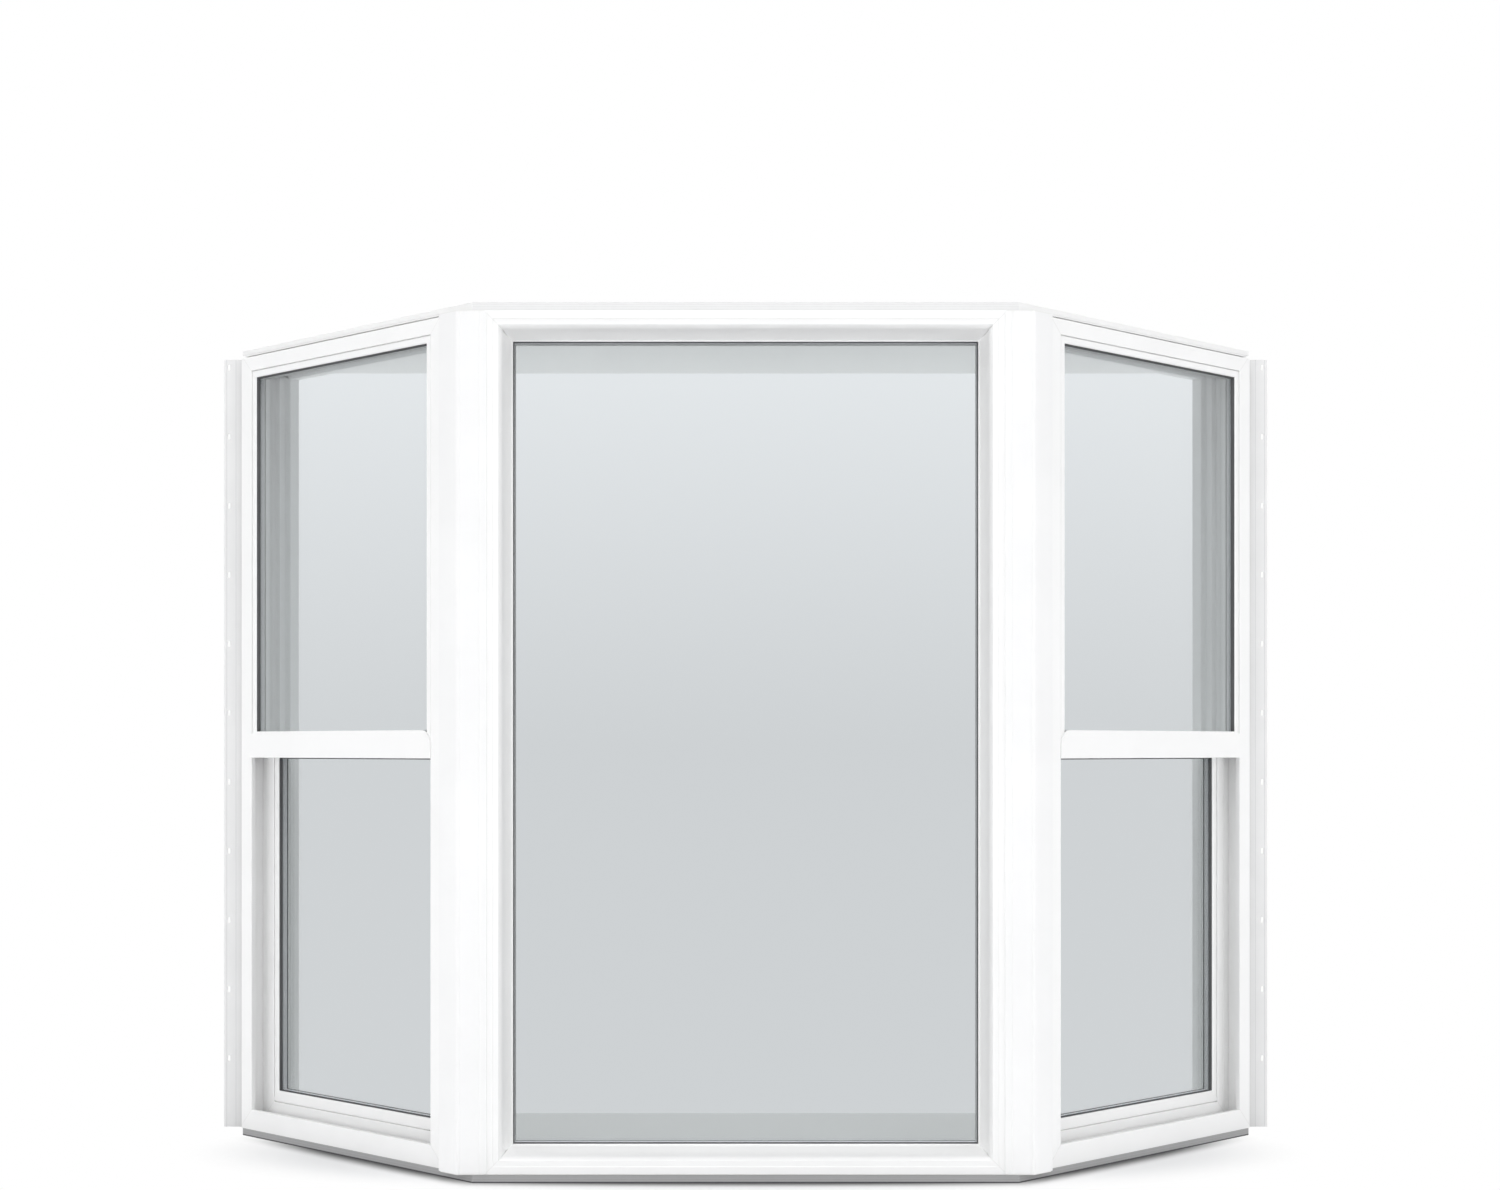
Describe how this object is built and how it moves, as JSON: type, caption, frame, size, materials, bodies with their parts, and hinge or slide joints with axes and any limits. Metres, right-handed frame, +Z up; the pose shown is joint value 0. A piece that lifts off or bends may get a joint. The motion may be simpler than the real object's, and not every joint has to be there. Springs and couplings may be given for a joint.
{
  "type": "bay window",
  "caption": "White vinyl bay window: fixed centre window between angled single-hung windows, with seat board, head board, corner covers and nailing fins.",
  "frame": {"origin": "on the ground under the middle of the seat board, half-way between the front of the corner covers and the room side of the wall", "axes": "+X along the wall, +Y into the room, +Z up; the centre window faces -Y"},
  "size_m": [1.5346, 0.521, 1.15],
  "materials": {
    "vinyl": "satin white extruded vinyl",
    "post": "satin white extruded vinyl",
    "fin": "matt off-white vinyl",
    "board": "white painted board",
    "glass": "clear float glass",
    "spacer": "mill finish aluminium spacer bar",
    "lock": "white painted die casting"
  },
  "bodies": {
    "root": {"centre_glazing_bead": "vinyl", "centre_head": "vinyl", "centre_inner_pane": "glass", "centre_left_jamb": "vinyl", "centre_outer_pane": "glass", "centre_right_jamb": "vinyl", "centre_sill": "vinyl", "centre_spacer": "spacer", "head_board": "board", "left_corner_cover": "vinyl", "left_corner_post": "post", "left_meeting_rail": "vinyl", "left_nailing_fin": "fin", "left_room_corner_trim": "vinyl", "left_sash": "vinyl", "left_sash_glazing_bead": "vinyl", "left_sash_inner_pane": "glass", "left_sash_lock": "lock", "left_sash_outer_pane": "glass", "left_sash_spacer": "spacer", "left_tilt_latches": "lock", "left_upper_glazing_bead": "vinyl", "left_upper_inner_pane": "glass", "left_upper_outer_pane": "glass", "left_upper_spacer": "spacer", "left_wall_jamb": "board", "left_window_head": "vinyl", "left_window_inner_jamb": "vinyl", "left_window_outer_jamb": "vinyl", "left_window_sill": "vinyl", "right_corner_cover": "vinyl", "right_corner_post": "post", "right_meeting_rail": "vinyl", "right_nailing_fin": "fin", "right_room_corner_trim": "vinyl", "right_sash": "vinyl", "right_sash_glazing_bead": "vinyl", "right_sash_inner_pane": "glass", "right_sash_lock": "lock", "right_sash_outer_pane": "glass", "right_sash_spacer": "spacer", "right_tilt_latches": "lock", "right_upper_glazing_bead": "vinyl", "right_upper_inner_pane": "glass", "right_upper_outer_pane": "glass", "right_upper_spacer": "spacer", "right_wall_jamb": "board", "right_window_head": "vinyl", "right_window_inner_jamb": "vinyl", "right_window_outer_jamb": "vinyl", "right_window_sill": "vinyl", "seat_board": "board"}
  },
  "joints": []
}
